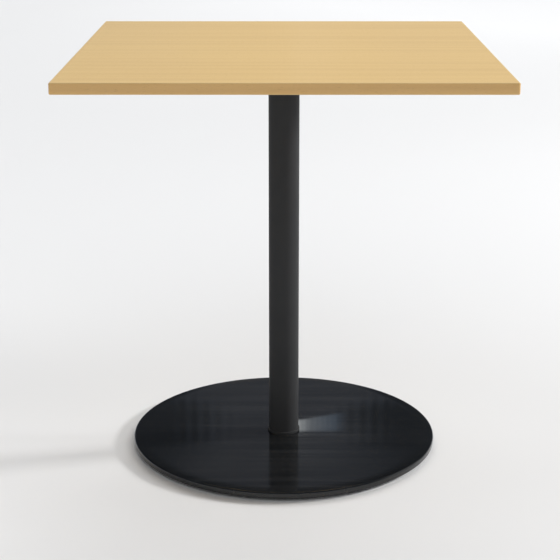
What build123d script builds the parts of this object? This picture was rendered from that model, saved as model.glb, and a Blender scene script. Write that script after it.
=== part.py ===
from build123d import *
import math
import os

# Pedestal bistro table: a rectangular wooden top on one slim steel column,
# which stands on a large, low, round base with four levelling glides.
# Units are millimetres, +Z is up. The origin is on the floor, on the column's axis.
# X is the table's width, Y its depth.

# ---------------------------------------------------------------- driving sizes
table_height = 736.6          # floor to the upper face of the top
top_width = 711.2             # along X
top_depth = 762.0             # along Y
top_thickness = 18.0
sheet_thickness = 0.8         # face veneer and backer
lipping_thickness = 5.0       # solid edge strips, full thickness of the top
corner_radius = 3.5           # the top's corners in plan
arris_radius = 2.0            # upper and lower edge rounding

plate_side = 320.0            # steel plate under the top
plate_thickness = 5.0
plate_corner = 18.0
plate_hole_pitch = 135.0      # screw rows are at 0 and at +- this
plate_port_radius = 16.0      # opening over the tie-rod nut

screw_length = 20.0           # 5 x 20 countersunk wood screws
screw_radius = 2.5
screw_head_radius = 4.8
screw_head_height = 2.4

column_radius = 27.5          # 55 mm tube
column_wall = 2.0
hub_radius = 25.3             # plugs that centre the tube at both ends
top_hub_height = 25.0
top_hub_port_depth = 12.0
foot_hub_height = 30.0

rod_radius = 6.0              # M12 tie rod
rod_hole_radius = 6.5
rod_thread_hole_radius = 6.1
washer_radius = 12.0
washer_thickness = 2.5
lock_washer_radius = 10.5
lock_washer_thickness = 2.5
nut_across_flats = 18.0
nut_height = 10.0

collar_radius = 29.6          # ring round the column's foot
collar_height = 4.5
collar_edge = 1.0

base_radius = 281.0           # round base
base_bottom = 7.5             # rim above the floor
base_top = 18.5
cover_wall = 1.5
cover_edge = 3.2              # outer rounding of the cover's rim
cover_hole_radius = 25.6
weight_radius = 278.9         # ballast plate inside the cover
weight_bottom = 8.0
weight_edge = 2.4

glide_circle = 222.0          # glide centres from the column's axis
glide_angles = (45.0, 135.0, 225.0, 315.0)
pad_radius = 15.0
pad_height = 5.2
pad_edge = 1.4
socket_radius = 6.6
socket_floor = 2.0
socket_height = 2.1
neck_radius = 4.35
stud_radius = 4.0             # M8 x 1.25
stud_hole_radius = 4.08
stud_top = 16.4
stud_foot_radius = 6.1
stud_foot_bottom = 2.3
stud_foot_height = 1.5
spanner_flats = 13.0
spanner_bottom = 5.5
spanner_height = 2.2

hub_screw_circle = 16.0       # three countersunk M8 screws under the foot hub
hub_screw_radius = 4.0
hub_screw_head_radius = 7.6
hub_screw_head_height = 3.6
hub_screw_reach = 12.0        # length inside the hub

# ---------------------------------------------------------------- derived levels
weight_top = base_top - cover_wall
top_underside = table_height - top_thickness
plate_bottom = top_underside - plate_thickness
column_bottom = base_top
column_top = plate_bottom
top_hub_bottom = plate_bottom - top_hub_height
port_floor = plate_bottom - top_hub_port_depth
foot_hub_bottom = weight_top
foot_hub_top = foot_hub_bottom + foot_hub_height
rod_bottom = foot_hub_top - 21.0
washer_bottom = port_floor
lock_washer_bottom = washer_bottom + washer_thickness
nut_bottom = lock_washer_bottom + lock_washer_thickness
rod_top = nut_bottom + nut_height + 1.0

os.makedirs("parts", exist_ok=True)


def save(name, shape):
    export_step(shape, "parts/" + name + ".step")


def cyl(radius, z0, z1, x=0.0, y=0.0):
    return Pos(x, y, (z0 + z1) / 2) * Cylinder(radius, z1 - z0)


def ring(outer, inner, z0, z1, x=0.0, y=0.0):
    return cyl(outer, z0, z1, x, y) - cyl(inner, z0 - 1, z1 + 1, x, y)


def block(x0, x1, y0, y1, z0, z1):
    return Pos((x0 + x1) / 2, (y0 + y1) / 2, (z0 + z1) / 2) * Box(x1 - x0, y1 - y0, z1 - z0)


def cone(radius0, radius1, z0, z1, x=0.0, y=0.0):
    return Pos(x, y, (z0 + z1) / 2) * Cone(radius0, radius1, z1 - z0)


def hexagon(flats, z0, z1, x=0.0, y=0.0):
    section = Pos(x, y, z0) * RegularPolygon(flats / math.sqrt(3), 6)
    return extrude(section, z1 - z0)


def turned(points):
    """A solid of revolution about Z from (radius, z) points."""
    section = make_face(Plane.XZ * Polyline(*points, close=True))
    return revolve(section, Axis.Z)


def as_group(solids):
    return Compound(children=[s.solid() for s in solids])


# ---------------------------------------------------------------- wooden top
slab = Pos(0, 0, top_underside + top_thickness / 2) * Box(top_width, top_depth, top_thickness)
slab = fillet(slab.edges().filter_by(Axis.Z), corner_radius)
slab = fillet(slab.faces().sort_by(Axis.Z)[-1].edges(), arris_radius)
slab = fillet(slab.faces().sort_by(Axis.Z)[0].edges(), arris_radius)

half_w, half_d = top_width / 2, top_depth / 2
in_w, in_d = half_w - lipping_thickness, half_d - lipping_thickness
low, high = top_underside - 5, table_height + 5

lipping_front = slab & block(-half_w - 5, half_w + 5, -half_d - 5, -in_d, low, high)
lipping_back = slab & block(-half_w - 5, half_w + 5, in_d, half_d + 5, low, high)
lipping_left = slab & block(-half_w - 5, -in_w, -in_d, in_d, low, high)
lipping_right = slab & block(in_w, half_w + 5, -in_d, in_d, low, high)

face_bottom = table_height - sheet_thickness
backer_top = top_underside + sheet_thickness
face_sheet = block(-in_w, in_w, -in_d, in_d, face_bottom, table_height)
backer_sheet = block(-in_w, in_w, -in_d, in_d, top_underside, backer_top)
core = block(-in_w, in_w, -in_d, in_d, backer_top, face_bottom)

p = plate_hole_pitch
screw_places = [(-p, -p), (0, -p), (p, -p), (-p, 0), (p, 0), (-p, p), (0, p), (p, p)]
screw_tip = plate_bottom + screw_length
for x, y in screw_places:
    pilot = cyl(screw_radius + 0.1, top_underside - 1, screw_tip + 0.5, x, y)
    core = core - pilot
    backer_sheet = backer_sheet - pilot

# ---------------------------------------------------------------- plate under the top
plate = Pos(0, 0, plate_bottom + plate_thickness / 2) * Box(plate_side, plate_side, plate_thickness)
plate = fillet(plate.edges().filter_by(Axis.Z), plate_corner)
plate = chamfer(plate.faces().sort_by(Axis.Z)[0].edges(), 1.2)
plate = plate - cyl(plate_port_radius, plate_bottom - 1, top_underside + 1)
for x, y in screw_places:
    plate = plate - cyl(screw_radius + 0.25, plate_bottom - 1, top_underside + 1, x, y)
    plate = plate - cone(
        screw_head_radius + 0.25, screw_radius + 0.25,
        plate_bottom, plate_bottom + screw_head_height + 0.1, x, y,
    )

# Countersunk heads lie flush with the plate's lower face.
wood_screws = []
for x, y in screw_places:
    head = cone(screw_head_radius, screw_radius, plate_bottom + 0.1, plate_bottom + 0.1 + screw_head_height, x, y)
    shank = cyl(screw_radius, plate_bottom + 0.1 + screw_head_height, screw_tip - 3.0, x, y)
    tip = cone(screw_radius, 0.4, screw_tip - 3.0, screw_tip, x, y)
    recess = hexagon(3.2, plate_bottom - 1, plate_bottom + 1.8, x, y)
    wood_screws.append(head + shank + tip - recess)

# ---------------------------------------------------------------- column and its clamp
column = ring(column_radius, column_radius - column_wall, column_bottom, column_top)

top_hub = cyl(hub_radius, top_hub_bottom, plate_bottom)
top_hub = chamfer(top_hub.faces().sort_by(Axis.Z)[0].edges(), 1.5)
top_hub = top_hub - cyl(plate_port_radius, port_floor, plate_bottom + 1)
top_hub = top_hub - cyl(rod_hole_radius, top_hub_bottom - 1, plate_bottom + 1)

foot_hub = cyl(hub_radius, foot_hub_bottom, foot_hub_top)
foot_hub = chamfer(foot_hub.faces().sort_by(Axis.Z)[-1].edges(), 2.0)
foot_hub = foot_hub - cyl(rod_thread_hole_radius, rod_bottom - 1.0, foot_hub_top + 1)

tie_rod = cyl(rod_radius, rod_bottom, rod_top)
tie_rod = chamfer(tie_rod.faces().sort_by(Axis.Z)[-1].edges(), 1.0)
tie_rod = chamfer(tie_rod.faces().sort_by(Axis.Z)[0].edges(), 1.0)

tie_washer = ring(washer_radius, rod_radius + 0.5, washer_bottom, washer_bottom + washer_thickness)

# Split spring washer: a ring with one oblique gap.
lock_washer = ring(
    lock_washer_radius, rod_radius + 0.4,
    lock_washer_bottom, lock_washer_bottom + lock_washer_thickness,
)
gap = Pos(8.3, 0, lock_washer_bottom + lock_washer_thickness / 2) * Rot(25, 0, 0) * Box(6.0, 1.2, 12.0)
lock_washer = lock_washer - gap

nut_body = hexagon(nut_across_flats, nut_bottom, nut_bottom + nut_height)
crown = nut_across_flats / math.sqrt(3)
nut_round = turned([
    (0, nut_bottom), (crown - 0.9, nut_bottom), (crown + 0.05, nut_bottom + 0.55),
    (crown + 0.05, nut_bottom + nut_height - 0.55), (crown - 0.9, nut_bottom + nut_height),
    (0, nut_bottom + nut_height),
])
tie_nut = (nut_body & nut_round) - cyl(rod_radius + 0.1, nut_bottom - 1, nut_bottom + nut_height + 1)

collar = ring(collar_radius, column_radius + 0.1, base_top, base_top + collar_height)
collar = fillet(
    collar.edges().filter_by(GeomType.CIRCLE).sort_by(Axis.Z)[-2:].sort_by(SortBy.RADIUS)[-1:],
    collar_edge,
)

# ---------------------------------------------------------------- round base
cover_solid = cyl(base_radius, base_bottom, base_top)
cover_solid = fillet(cover_solid.faces().sort_by(Axis.Z)[-1].edges(), cover_edge)
cover_space = cyl(base_radius - cover_wall, base_bottom - 5, weight_top)
cover_space = fillet(cover_space.faces().sort_by(Axis.Z)[-1].edges(), cover_edge - cover_wall)
cover = cover_solid - cover_space - cyl(cover_hole_radius, base_bottom - 1, base_top + 1)

weight = cyl(weight_radius, weight_bottom, weight_top)
weight = fillet(weight.faces().sort_by(Axis.Z)[-1].edges(), weight_edge)
weight = chamfer(weight.faces().sort_by(Axis.Z)[0].edges(), 0.8)

hub_screws = []
for i in range(3):
    angle = math.radians(90 + 120 * i)
    x, y = hub_screw_circle * math.cos(angle), hub_screw_circle * math.sin(angle)
    foot_hub = foot_hub - cyl(hub_screw_radius + 0.1, foot_hub_bottom - 1, foot_hub_bottom + hub_screw_reach + 1.5, x, y)
    weight = weight - cyl(hub_screw_radius + 0.4, weight_bottom - 1, weight_top + 1, x, y)
    weight = weight - cone(
        hub_screw_head_radius + 0.4, hub_screw_radius + 0.4,
        weight_bottom, weight_bottom + hub_screw_head_height + 0.2, x, y,
    )
    head_low = weight_bottom + 0.2
    head = cone(hub_screw_head_radius, hub_screw_radius, head_low, head_low + hub_screw_head_height, x, y)
    shank = cyl(hub_screw_radius, head_low + hub_screw_head_height, foot_hub_bottom + hub_screw_reach, x, y)
    recess = hexagon(5.0, head_low - 1, head_low + 3.0, x, y)
    hub_screws.append(head + shank - recess)

# ---------------------------------------------------------------- levelling glides
def glide_pad(x, y):
    body = cyl(pad_radius, 0, pad_height, x, y)
    body = fillet(body.faces().sort_by(Axis.Z)[-1].edges(), pad_edge)
    body = chamfer(body.faces().sort_by(Axis.Z)[0].edges(), 0.6)
    body = body - cyl(socket_radius, socket_floor, socket_floor + socket_height, x, y)
    return body - cyl(neck_radius, socket_floor + 1, pad_height + 1, x, y)


def glide_stud(x, y):
    foot = cyl(stud_foot_radius, stud_foot_bottom, stud_foot_bottom + stud_foot_height, x, y)
    shank = cyl(stud_radius, stud_foot_bottom + 0.5, stud_top, x, y)
    shank = chamfer(shank.faces().sort_by(Axis.Z)[-1].edges(), 0.8)
    spanner = hexagon(spanner_flats, spanner_bottom, spanner_bottom + spanner_height, x, y)
    return foot + shank + spanner


glides = []
for number, angle in enumerate(glide_angles, start=1):
    x = glide_circle * math.cos(math.radians(angle))
    y = glide_circle * math.sin(math.radians(angle))
    weight = weight - cyl(stud_hole_radius, weight_bottom - 1, weight_top + 1, x, y)
    glides.append((number, glide_pad(x, y), glide_stud(x, y)))

# ---------------------------------------------------------------- one file per piece
save("top_core", core)
save("top_face_sheet", face_sheet)
save("top_backer_sheet", backer_sheet)
save("lipping_front", lipping_front)
save("lipping_back", lipping_back)
save("lipping_left", lipping_left)
save("lipping_right", lipping_right)
save("mounting_plate", plate)
save("wood_screws", as_group(wood_screws))
save("top_hub", top_hub)
save("column_tube", column)
save("tie_rod", tie_rod)
save("tie_rod_washer", tie_washer)
save("tie_rod_lock_washer", lock_washer)
save("tie_rod_nut", tie_nut)
save("column_collar", collar)
save("foot_hub", foot_hub)
save("foot_hub_screws", as_group(hub_screws))
save("base_cover", cover)
save("base_weight", weight)
for number, pad, stud in glides:
    save("glide_pad_" + str(number), pad)
    save("glide_stud_" + str(number), stud)
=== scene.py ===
import bpy
import bmesh
import math
from mathutils import Vector, Matrix


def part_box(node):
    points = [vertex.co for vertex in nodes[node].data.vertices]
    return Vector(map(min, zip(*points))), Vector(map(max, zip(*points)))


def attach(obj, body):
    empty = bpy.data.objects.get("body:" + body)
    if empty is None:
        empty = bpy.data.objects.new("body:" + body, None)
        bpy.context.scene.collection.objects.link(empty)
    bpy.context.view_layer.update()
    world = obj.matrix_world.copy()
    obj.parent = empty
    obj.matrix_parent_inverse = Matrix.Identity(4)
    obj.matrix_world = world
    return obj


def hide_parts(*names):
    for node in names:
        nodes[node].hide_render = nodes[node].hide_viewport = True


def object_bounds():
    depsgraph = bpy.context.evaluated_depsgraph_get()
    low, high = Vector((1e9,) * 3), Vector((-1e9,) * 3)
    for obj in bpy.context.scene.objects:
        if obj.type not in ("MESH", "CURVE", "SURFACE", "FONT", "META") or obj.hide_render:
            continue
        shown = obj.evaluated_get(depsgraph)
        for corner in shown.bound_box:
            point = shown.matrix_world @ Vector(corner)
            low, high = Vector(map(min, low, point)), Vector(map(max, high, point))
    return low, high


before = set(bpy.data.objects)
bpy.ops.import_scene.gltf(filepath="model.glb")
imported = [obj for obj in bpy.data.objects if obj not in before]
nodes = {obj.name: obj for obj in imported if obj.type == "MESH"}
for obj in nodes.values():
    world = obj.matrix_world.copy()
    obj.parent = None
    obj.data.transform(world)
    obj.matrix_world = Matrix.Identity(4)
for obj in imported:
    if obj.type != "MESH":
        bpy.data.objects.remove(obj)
cad_low, cad_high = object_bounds()
scene = bpy.context.scene
scene.view_settings.view_transform = "Standard"

MM = 0.001
TAU = 2 * math.pi

# ------------------------------------------------------------------ sizes, read from the frame
top_low, top_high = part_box("top_core")
face_low, face_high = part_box("top_face_sheet")
front_low, front_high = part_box("lipping_front")
side_low, side_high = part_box("lipping_right")
plate_low, plate_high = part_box("mounting_plate")
tube_low, tube_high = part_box("column_tube")
collar_low, collar_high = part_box("column_collar")
cover_low, cover_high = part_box("base_cover")
weight_low, weight_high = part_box("base_weight")
rod_low, rod_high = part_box("tie_rod")
nut_low, nut_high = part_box("tie_rod_nut")
washer_low, washer_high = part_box("tie_rod_washer")
lock_low, lock_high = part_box("tie_rod_lock_washer")
tophub_low, tophub_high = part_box("top_hub")
foothub_low, foothub_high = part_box("foot_hub")

HALF_W, HALF_D = cad_high[0], cad_high[1]
TOP_Z, UNDER_Z = cad_high[2], front_low[2]
LIP = HALF_D - top_high[1]
CORNER, ARRIS = 3.5 * MM, 2.0 * MM
TUBE_R, TUBE_WALL = tube_high[0], 2.0 * MM
BASE_R = cover_high[0]


# ------------------------------------------------------------------ mesh helpers
def mesh_object(name, verts, faces, smooth_angle=32.0):
    """One object from vertices (metres) and faces, cleaned, with smooth shading split at sharp edges."""
    bm = bmesh.new()
    made = [bm.verts.new(v) for v in verts]
    for f in faces:
        ids = []
        for i in f:
            if not ids or ids[-1] != i:
                ids.append(i)
        if len(ids) > 2 and ids[0] == ids[-1]:
            ids.pop()
        if len(set(ids)) < 3:
            continue
        try:
            bm.faces.new([made[i] for i in ids])
        except ValueError:
            pass
    return bm_object(name, bm, smooth_angle)


def bm_object(name, bm, smooth_angle=32.0):
    bmesh.ops.remove_doubles(bm, verts=bm.verts, dist=2e-7)
    bmesh.ops.dissolve_degenerate(bm, edges=bm.edges, dist=1e-7)
    loose = [v for v in bm.verts if not v.link_faces]
    bmesh.ops.delete(bm, geom=loose, context="VERTS")
    bmesh.ops.recalc_face_normals(bm, faces=bm.faces)
    mesh = bpy.data.meshes.new(name)
    bm.to_mesh(mesh)
    bm.free()
    for p in mesh.polygons:
        p.use_smooth = True
    mesh.set_sharp_from_angle(angle=math.radians(smooth_angle))
    ob = bpy.data.objects.new(name, mesh)
    scene.collection.objects.link(ob)
    # large flat faces keep their own normal, and the rounded edges blend into them
    weighted = ob.modifiers.new("weighted_normals", "WEIGHTED_NORMAL")
    weighted.keep_sharp = True
    weighted.weight = 90
    return ob


def arc(cx, cz, r, a0, a1, n):
    """Points of an arc in the (radius, z) plane, angles in degrees."""
    return [
        (cx + r * math.cos(math.radians(a0 + (a1 - a0) * i / n)), cz + r * math.sin(math.radians(a0 + (a1 - a0) * i / n)))
        for i in range(n + 1)
    ]


def lathe(name, profile, segments, centre=(0.0, 0.0), loop=True, smooth_angle=32.0):
    """A closed solid turned about the vertical axis through centre, from (radius, z) points in metres."""
    verts, faces, n = [], [], len(profile)
    for i in range(segments):
        a = TAU * i / segments
        c, s = math.cos(a), math.sin(a)
        for r, z in profile:
            verts.append((centre[0] + r * c, centre[1] + r * s, z))
    for i in range(segments):
        k = (i + 1) % segments
        for j in range(n if loop else n - 1):
            m = (j + 1) % n
            faces.append((i * n + j, i * n + m, k * n + m, k * n + j))
    return mesh_object(name, verts, faces, smooth_angle)


def grid_solid(name, rows, segments, centre=(0.0, 0.0), loop=False, phase=0.0, smooth_angle=32.0, add_to=None):
    """A solid wrapped round the vertical axis. Each row gives (radius, z) for every angle.
    A thread block is a dict: its rows climb by one pitch per turn, and the seam is joined one pitch further up."""
    flat = []          # rows as functions
    shift = {}
    for row in rows:
        if isinstance(row, dict):
            z0, z1, pitch, per = row["z0"], row["z1"], row["pitch"], row["per"]
            shape, envelope = row["shape"], row["envelope"]
            count = int(math.ceil((abs(z1 - z0) / pitch + 2) * per))
            start = len(flat)
            up = 1.0 if z1 > z0 else -1.0
            for j in range(count + 1):
                def f(a, j=j, z0=z0, z1=z1, pitch=pitch, per=per, shape=shape, envelope=envelope, up=up, count=count):
                    turn = a / TAU
                    if up > 0:
                        s = z0 - pitch + j * pitch / per + pitch * turn
                    else:
                        s = z0 + pitch - j * pitch / per + pitch * turn - pitch
                    lo, hi = min(z0, z1), max(z0, z1)
                    z = min(max(s, lo), hi)
                    ph = (j / per) % 1.0
                    return envelope(z, shape(ph)), z
                flat.append(f)
            for j in range(start, len(flat)):
                other = j + per if up > 0 else j - per
                shift[j] = min(max(other, start), len(flat) - 1)
        else:
            flat.append(row if callable(row) else (lambda a, row=row: row))
    n = len(flat)
    verts, faces = [], []
    for i in range(segments):
        a = TAU * i / segments
        c, s = math.cos(a + phase), math.sin(a + phase)
        for f in flat:
            r, z = f(a)
            verts.append((centre[0] + r * c, centre[1] + r * s, z))
    for i in range(segments):
        k = (i + 1) % segments
        for j in range(n if loop else n - 1):
            m = (j + 1) % n
            if k:
                faces.append((i * n + j, i * n + m, k * n + m, k * n + j))
            else:
                faces.append((i * n + j, i * n + m, shift.get(m, m), shift.get(j, j)))
    if add_to is not None:
        base = len(add_to[0])
        add_to[0].extend(verts)
        add_to[1].extend(tuple(base + q for q in f) for f in faces)
        return None
    return mesh_object(name, verts, faces, smooth_angle)


def hex_row(flats, z, limit=None):
    """A hexagonal row, its corners cut back to a circle of radius limit."""
    def f(a):
        r = flats / 2 / math.cos(a % (TAU / 6) - TAU / 12)
        if limit is not None:
            r = min(r, limit)
        return r, z
    return f


def thread_shape(major, minor):
    """Radius over one pitch for a metric thread with flattened crest and rounded root."""
    def f(ph):
        t = abs(ph - 0.5) * 2          # 0 at the crest, 1 at the root
        if t < 0.14:
            return major
        if t > 0.80:
            return minor
        return major + (minor - major) * (t - 0.14) / 0.66
    return f


# ------------------------------------------------------------------ node helpers
class Tree:
    """A short way to write node trees."""

    def __init__(self, tree):
        self.tree = tree
        self.nodes = tree.nodes
        self.links = tree.links

    def put(self, socket, value):
        if isinstance(value, bpy.types.NodeSocket):
            self.links.new(value, socket)
        elif value is not None:
            socket.default_value = value

    def add(self, kind, inputs=None, **settings):
        node = self.nodes.new(kind)
        for k, v in settings.items():
            setattr(node, k, v)
        for k, v in (inputs or {}).items():
            self.put(node.inputs[k], v)
        return node

    def math(self, op, a, b=0.0, c=None, clamp=False):
        node = self.nodes.new("ShaderNodeMath")
        node.operation = op
        node.use_clamp = clamp
        self.put(node.inputs[0], a)
        self.put(node.inputs[1], b)
        if c is not None:
            self.put(node.inputs[2], c)
        return node.outputs[0]

    def noise(self, vector, scale, detail=2.0, rough=0.5, distortion=0.0, dims="3D"):
        node = self.add("ShaderNodeTexNoise", {"Vector": vector, "Scale": scale, "Detail": detail, "Roughness": rough, "Distortion": distortion}, noise_dimensions=dims)
        return node.outputs["Fac"]

    def scaled(self, vector, x, y, z, offset=(0, 0, 0), turn=(0, 0, 0)):
        node = self.add("ShaderNodeMapping", {"Vector": vector, "Scale": (x, y, z), "Location": offset, "Rotation": turn})
        return node.outputs[0]

    def ramp(self, fac, low, high, to_low=0.0, to_high=1.0, kind="SMOOTHSTEP"):
        node = self.add("ShaderNodeMapRange", {"Value": fac, "From Min": low, "From Max": high, "To Min": to_low, "To Max": to_high}, interpolation_type=kind)
        return node.outputs[0]

    def mix(self, fac, a, b, blend="MIX"):
        node = self.nodes.new("ShaderNodeMix")
        node.data_type = "RGBA"
        node.blend_type = blend
        self.put(node.inputs[0], fac)
        self.put(node.inputs[6], a)
        self.put(node.inputs[7], b)
        return node.outputs[2]

    def bump(self, height, strength, distance, normal=None):
        node = self.add("ShaderNodeBump", {"Height": height, "Strength": strength, "Distance": distance})
        if normal is not None:
            self.put(node.inputs["Normal"], normal)
        return node.outputs[0]


def new_material(name):
    m = bpy.data.materials.new(name)
    m.use_nodes = True
    t = Tree(m.node_tree)
    m.node_tree.nodes.clear()
    out = t.add("ShaderNodeOutputMaterial")
    bsdf = t.add("ShaderNodeBsdfPrincipled")
    t.links.new(bsdf.outputs[0], out.inputs[0])
    where = t.add("ShaderNodeTexCoord").outputs["Object"]
    return m, t, bsdf, where


def srgb(r, g, b):
    def f(c):
        c /= 255.0
        return c / 12.92 if c <= 0.04045 else ((c + 0.055) / 1.055) ** 2.4
    return (f(r), f(g), f(b), 1.0)


# ------------------------------------------------------------------ materials
def wood(name, along="X", seed=0.0, tone=1.0, leaf=0.0, light=(0.846, 0.588, 0.228), dark=(0.736, 0.486, 0.179), end_grain=False, gloss=0.36, upright_shade=None):
    """Pale maple. Grain runs along one row axis; leaf is the width of each veneer leaf across the grain."""
    m, t, bsdf, where = new_material(name)
    xyz = t.add("ShaderNodeSeparateXYZ", {"Vector": where})
    x, y, z = xyz.outputs
    u, v = (x, y) if along == "X" else (y, x)
    if leaf:
        index = t.math("FLOOR", t.math("DIVIDE", t.math("ADD", v, 5.0 + leaf * 0.5), leaf))
        pick = t.add("ShaderNodeTexWhiteNoise", {"W": index}, noise_dimensions="1D").outputs["Value"]
        u = t.math("ADD", u, t.math("MULTIPLY", pick, 0.9))
        v_leaf = t.math("ADD", v, t.math("MULTIPLY", index, 0.37))
    else:
        pick = None
        v_leaf = v
    p = t.add("ShaderNodeCombineXYZ", {"X": t.math("ADD", u, seed), "Y": t.math("ADD", v_leaf, seed * 0.7), "Z": z}).outputs[0]
    # slow waviness of the fibres
    bend = t.math("SUBTRACT", t.noise(t.scaled(p, 1.3, 4.0, 4.0), 1.0, 2.0), 0.5)
    bend2 = t.math("SUBTRACT", t.noise(t.scaled(p, 9.0, 30.0, 30.0), 1.0, 2.0), 0.5)
    across = t.math("ADD", t.math("ADD", v_leaf, seed * 0.7), t.math("ADD", t.math("MULTIPLY", bend, 0.030), t.math("MULTIPLY", bend2, 0.0016)))
    q = t.add("ShaderNodeCombineXYZ", {"X": t.math("ADD", u, seed), "Y": across, "Z": z}).outputs[0]
    rings = t.noise(t.scaled(q, 0.55, 42.0, 42.0), 1.0, 3.0, 0.55)
    bands = t.noise(t.scaled(q, 1.8, 190.0, 190.0), 1.0, 2.0, 0.6)
    fibres = t.noise(t.scaled(q, 34.0, 1900.0, 1900.0), 1.0, 2.0, 0.6)
    mottle = t.noise(t.scaled(p, 26.0, 5.5, 5.5), 1.0, 2.0, 0.5)
    pores = t.ramp(t.noise(t.scaled(q, 120.0, 1500.0, 1500.0, offset=(3, 7, 0)), 1.0, 1.0, 0.5), 0.63, 0.74)
    flecks = t.ramp(t.noise(t.scaled(q, 210.0, 800.0, 800.0, offset=(9, 2, 0)), 1.0, 1.0, 0.5), 0.62, 0.74)
    late = t.ramp(rings, 0.52, 0.62)              # thin darker late-wood lines
    late = t.math("MULTIPLY", late, t.ramp(rings, 0.72, 0.62))
    tone_f = t.math("ADD", t.math("MULTIPLY", t.ramp(rings, 0.26, 0.76), 0.42), t.math("MULTIPLY", t.ramp(bands, 0.22, 0.80), 0.30))
    tone_f = t.math("ADD", tone_f, t.math("MULTIPLY", fibres, 0.28))
    tone_f = t.math("ADD", tone_f, t.math("MULTIPLY", t.math("SUBTRACT", mottle, 0.5), 0.12))
    tone_f = t.math("ADD", tone_f, t.math("MULTIPLY", late, 0.16))
    if pick is not None:
        tone_f = t.math("ADD", tone_f, t.math("MULTIPLY", t.math("SUBTRACT", pick, 0.5), 0.16))
    l = tuple(c * tone for c in light) + (1.0,)
    d = tuple(c * tone for c in dark) + (1.0,)
    colour = t.mix(t.math("SUBTRACT", tone_f, 0.05, clamp=True), l, d)
    colour = t.mix(t.math("MULTIPLY", pores, 0.30), colour, (0.40 * tone, 0.235 * tone, 0.095 * tone, 1.0))
    colour = t.mix(t.math("MULTIPLY", flecks, 0.16), colour, (0.83 * tone, 0.64 * tone, 0.38 * tone, 1.0))
    height = t.math("SUBTRACT", t.math("ADD", t.math("MULTIPLY", fibres, 0.5), t.math("MULTIPLY", bands, 0.3)), t.math("MULTIPLY", pores, 0.9))
    rough = t.math("ADD", gloss - 0.04, t.math("ADD", t.math("MULTIPLY", fibres, 0.10), t.math("MULTIPLY", pores, 0.12)))
    if end_grain:
        normal = t.add("ShaderNodeNewGeometry").outputs["Normal"]
        parts = t.add("ShaderNodeSeparateXYZ", {"Vector": normal}).outputs
        facing = t.math("ABSOLUTE", parts[0] if along == "X" else parts[1])
        mask = t.ramp(facing, 0.72, 0.92)
        dots = t.noise(where, 2600.0, 2.0, 0.6)
        ring_end = t.noise(t.scaled(where, 60.0, 60.0, 420.0), 1.0, 2.0, 0.5)
        end = t.mix(t.math("ADD", t.math("MULTIPLY", dots, 0.6), t.math("MULTIPLY", ring_end, 0.5)), (0.60 * tone, 0.40 * tone, 0.19 * tone, 1), (0.33 * tone, 0.20 * tone, 0.085 * tone, 1))
        colour = t.mix(t.math("MULTIPLY", mask, 0.8), colour, end)
    # the lacquer deepens the colour at a low angle
    facing = t.add("ShaderNodeLayerWeight", {"Blend": 0.5}).outputs["Facing"]
    colour = t.mix(t.ramp(facing, 0.64, 0.80, 1.0, 0.0), colour, (0.90, 0.93, 1.13, 1.0), "MULTIPLY")
    # painted shade: upright faces are multiplied by the given tint, standing in for the shade the lights leave on them
    if upright_shade:
        upright = t.add("ShaderNodeSeparateXYZ", {"Vector": t.add("ShaderNodeNewGeometry").outputs["Normal"]}).outputs[2]
        colour = t.mix(t.ramp(t.math("ABSOLUTE", upright), 0.80, 0.20), colour, upright_shade, "MULTIPLY")
    t.put(bsdf.inputs["Base Color"], colour)
    t.put(bsdf.inputs["Roughness"], rough)
    bsdf.inputs["Coat Weight"].default_value = 0.22
    bsdf.inputs["Coat Roughness"].default_value = 0.20
    bsdf.inputs["Specular IOR Level"].default_value = 0.45
    t.put(bsdf.inputs["Normal"], t.bump(height, 0.30, 0.00005))
    return m


def powder_coat(name, colour=(0.0460, 0.0470, 0.0490), rough=0.46, peel=0.34):
    """Satin powder coat: orange peel, faint pigment speckle, a little rubbed sheen."""
    m, t, bsdf, where = new_material(name)
    speck = t.noise(where, 2400.0, 2.0, 0.6)
    cloud = t.noise(where, 17.0, 3.0, 0.55)
    peel_a = t.noise(where, 620.0, 2.0, 0.5)
    peel_b = t.noise(where, 1500.0, 1.0, 0.5)
    handled = t.ramp(t.noise(t.scaled(where, 1.0, 1.0, 0.5), 9.0, 4.0, 0.6), 0.50, 0.72)
    dark = tuple(c * 0.80 for c in colour) + (1.0,)
    pale = tuple(c * 1.22 for c in colour) + (1.0,)
    t.put(bsdf.inputs["Base Color"], t.mix(t.math("ADD", t.math("MULTIPLY", speck, 0.6), t.math("MULTIPLY", cloud, 0.4)), dark, pale))
    r = t.math("ADD", rough - 0.05, t.math("MULTIPLY", peel_a, 0.06))
    r = t.math("ADD", r, t.math("MULTIPLY", cloud, 0.05))
    r = t.math("SUBTRACT", r, t.math("MULTIPLY", handled, 0.035))
    t.put(bsdf.inputs["Roughness"], r)
    bsdf.inputs["Specular IOR Level"].default_value = 0.5
    bsdf.inputs["IOR"].default_value = 1.11
    height = t.math("ADD", t.math("MULTIPLY", peel_a, 1.0), t.math("MULTIPLY", peel_b, 0.35))
    t.put(bsdf.inputs["Normal"], t.bump(height, peel, 0.00012))
    return m


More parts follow.
